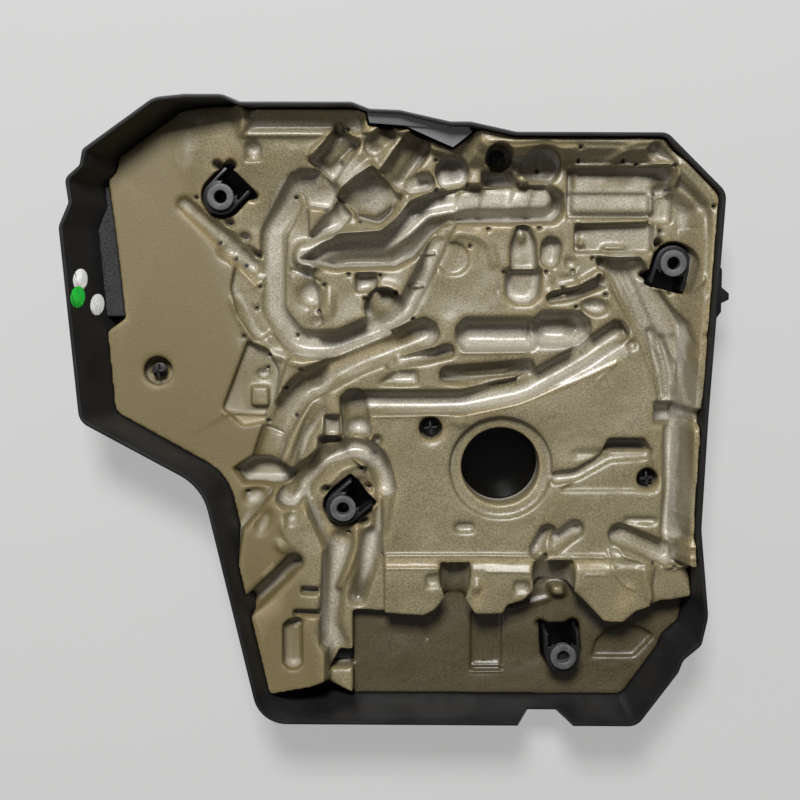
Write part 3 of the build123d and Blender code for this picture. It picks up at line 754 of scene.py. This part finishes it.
def mark_ledge_sheen(piece):
    """Stores where the upward faces of the plastic's sloped ledge at the rear get a painted light-grey sheen.
    """
    up = points_of(piece, "normal")[:, 2]
    x, y, z = points_of(piece).T / MM
    across = rising((x + 36) / 5) * rising((76 - x) / 5)
    behind = rising((y - 185) / 10)
    below_rim = rising((z - 20) / 10) * rising((77 - z) / 1.5)
    store(piece, "ledge", rising((up - 0.1) / 0.4) * across * behind * below_rim)


class COVER_OT_shell(bpy.types.Operator):
    """Finish the black plastic moulding"""

    bl_idname = "cover.shell"
    bl_label = "Cover shell"

    def execute(self, context):
        settings = context.scene.cover_shell
        nodes = ["cover_shell"] + [f"grommet_holder_{i + 1}" for i in range(SOCKETS)]
        shell, *holders = copies = [copy_of(node, node.replace("cover_", "")) for node in nodes]
        for piece in copies:
            round_edges(piece, settings.edge_round, 2, 38)
        join(shell, holders)
        soften(shell, 30)
        mark_ledge_sheen(shell)
        seat(shell, cover_plastic(tuple(settings.colour)), "shell", *nodes)
        return {"FINISHED"}


class COVER_OT_foam(bpy.types.Operator):
    """Round and finish the moulded foam liner"""

    bl_idname = "cover.foam"
    bl_label = "Foam liner"

    def execute(self, context):
        settings = context.scene.cover_foam
        foam = copy_of("foam_liner", "foam")
        join(foam, [wall_bank()])
        modify(foam, "REMESH", mode="VOXEL", voxel_size=settings.voxel, use_smooth_shade=True)
        raise_by(foam, soft_forms)
        deepen(foam, settings.depth)
        modify(foam, "SMOOTH", factor=0.5, iterations=settings.softness)
        raise_by(foam, fine_forms)
        triangles = 2 * len(foam.data.polygons)
        modify(foam, "DECIMATE", ratio=min(1.0, settings.faces / triangles))
        mark_foam(foam)
        soften(foam, 180)
        seat(foam, foam_skin(settings), "foam", "foam_liner")
        return {"FINISHED"}


class COVER_OT_grommets(bpy.types.Operator):
    """Round and finish the rubber grommets"""

    bl_idname = "cover.grommets"
    bl_label = "Grommets"

    def execute(self, context):
        rubber = grommet_rubber()
        for i in range(1, SOCKETS + 1):
            grommet = copy_of(f"grommet_{i}", f"rubber_grommet_{i}")
            round_edges(grommet, 0.9 * MM, 3, 50)
            soften(grommet, 40)
            seat(grommet, rubber, "rubber", f"grommet_{i}")
        return {"FINISHED"}


class COVER_OT_pins(bpy.types.Operator):
    """Finish the push pins that hold the foam"""

    bl_idname = "cover.pins"
    bl_label = "Foam pins"

    def execute(self, context):
        plastic = pin_plastic()
        for i in range(1, PINS + 1):
            pin = copy_of(f"foam_pin_{i}", f"push_pin_{i}")
            points = points_of(pin)
            low, high = points.min(0), points.max(0)
            x, y = (low + high)[:2] / 2
            fins = []
            for turn in (0, math.pi / 2):
                bpy.ops.mesh.primitive_cube_add(size=1, location=(x, y, high[2] + FIN_RISE * MM),
                                                rotation=(0, 0, turn + FIN_TURN))
                fin = context.object
                fin.scale = [side * MM for side in FIN]
                bpy.ops.object.transform_apply(location=True, rotation=True, scale=True)
                fins.append(fin)
            join(pin, fins)
            round_edges(pin, 0.35 * MM, 2, 50)
            soften(pin, 40)
            seat(pin, plastic, "pin", f"foam_pin_{i}")
        return {"FINISHED"}


class COVER_OT_strip(bpy.types.Operator):
    """Finish the felt strip by the left wall"""

    bl_idname = "cover.strip"
    bl_label = "Felt strip"

    def execute(self, context):
        strip = copy_of("felt_strip", "felt")
        modify(strip, "REMESH", mode="VOXEL", voxel_size=1.2 * MM, use_smooth_shade=True)
        modify(strip, "SMOOTH", factor=0.5, iterations=3)
        seat(strip, strip_felt(), "felt", "felt_strip")
        return {"FINISHED"}


class COVER_OT_stickers(bpy.types.Operator):
    """Finish the plain stickers on the left wall"""

    bl_idname = "cover.stickers"
    bl_label = "Stickers"

    def execute(self, context):
        white = label_paper("label_white", (0.8, 0.8, 0.78))
        green = label_paper("label_green", (0.012, 0.5, 0.045))
        for name, paper, slot in (("white_a", white, "paper_white"), ("green", green, "paper_green"),
                                  ("white_b", white, "paper_white")):
            seat(copy_of("sticker_" + name, "label_" + name), paper, slot, "sticker_" + name)
        return {"FINISHED"}


class COVER_OT_stage(bpy.types.Operator):
    """Set up the floor, the lamps and the camera"""

    bl_idname = "cover.stage"
    bl_label = "Stage"

    def execute(self, context):
        settings = context.scene.cover_stage
        scene = context.scene
        deselect()
        bpy.ops.mesh.primitive_plane_add(size=8)
        floor = context.object
        floor.name = "floor"
        made, tree, shader = material("floor_paper", Roughness=0.9, Emission_Color=(1, 1, 0.99, 1),
                                      Emission_Strength=0.38)
        cloud = grain(tree, 300.0, 0.6)[1]
        tone = tuple(settings.floor)
        link(tree, blend(tree, cloud, tone, tuple(c * 0.97 for c in tone)), shader.inputs["Base Color"])
        floor.data.materials.append(made)

        world = bpy.data.worlds.new("studio")
        world.use_nodes = True
        sky = world.node_tree.nodes["Background"]
        sky.inputs["Color"].default_value = (1.0, 1.0, 1.0, 1.0)
        sky.inputs["Strength"].default_value = 0.15
        scene.world = world

        target = Vector(settings.target)
        for name, place, size, power in LAMPS:
            lamp = bpy.data.objects.new(name, bpy.data.lights.new(name, "AREA"))
            lamp.data.size = size
            lamp.data.energy = power
            lamp.location = place
            lamp.rotation_euler = (target - Vector(place)).to_track_quat("-Z", "Y").to_euler()
            scene.collection.objects.link(lamp)

        camera = bpy.data.objects.new("camera", bpy.data.cameras.new("camera"))
        back = Vector((0, math.sin(settings.tilt), math.cos(settings.tilt)))
        camera.location = target + settings.distance * back
        camera.rotation_euler = (-settings.tilt, 0, 0)
        camera.data.lens = settings.lens
        camera.data.sensor_width = 36
        scene.collection.objects.link(camera)
        scene.camera = camera
        scene.view_settings.view_transform = "Standard"
        return {"FINISHED"}


class COVER_PT_panel(bpy.types.Panel):
    """The steps that dress the engine cover"""

    bl_idname = "COVER_PT_panel"
    bl_label = "Engine Cover"
    bl_space_type = "VIEW_3D"
    bl_region_type = "UI"
    bl_category = "Engine Cover"

    def draw(self, context):
        for step in STEPS:
            self.layout.operator(step.bl_idname)


STEPS = (COVER_OT_shell, COVER_OT_foam, COVER_OT_grommets, COVER_OT_pins, COVER_OT_strip, COVER_OT_stickers,
         COVER_OT_stage)
GROUPS = {"cover_shell": ShellSettings, "cover_foam": FoamSettings, "cover_stage": StageSettings}


def register():
    """Registers the settings, the steps and the panel."""
    for name, group in GROUPS.items():
        bpy.utils.register_class(group)
        setattr(bpy.types.Scene, name, bpy.props.PointerProperty(type=group))
    for step in STEPS + (COVER_PT_panel,):
        bpy.utils.register_class(step)


def unregister():
    """Takes them all away again."""
    for step in STEPS + (COVER_PT_panel,):
        bpy.utils.unregister_class(step)
    for name, group in GROUPS.items():
        delattr(bpy.types.Scene, name)
        bpy.utils.unregister_class(group)


def main():
    """Dresses the part."""
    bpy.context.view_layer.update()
    register()
    for step in STEPS:
        family, name = step.bl_idname.split(".")
        getattr(getattr(bpy.ops, family), name)()


if __name__ == "__main__":
    main()
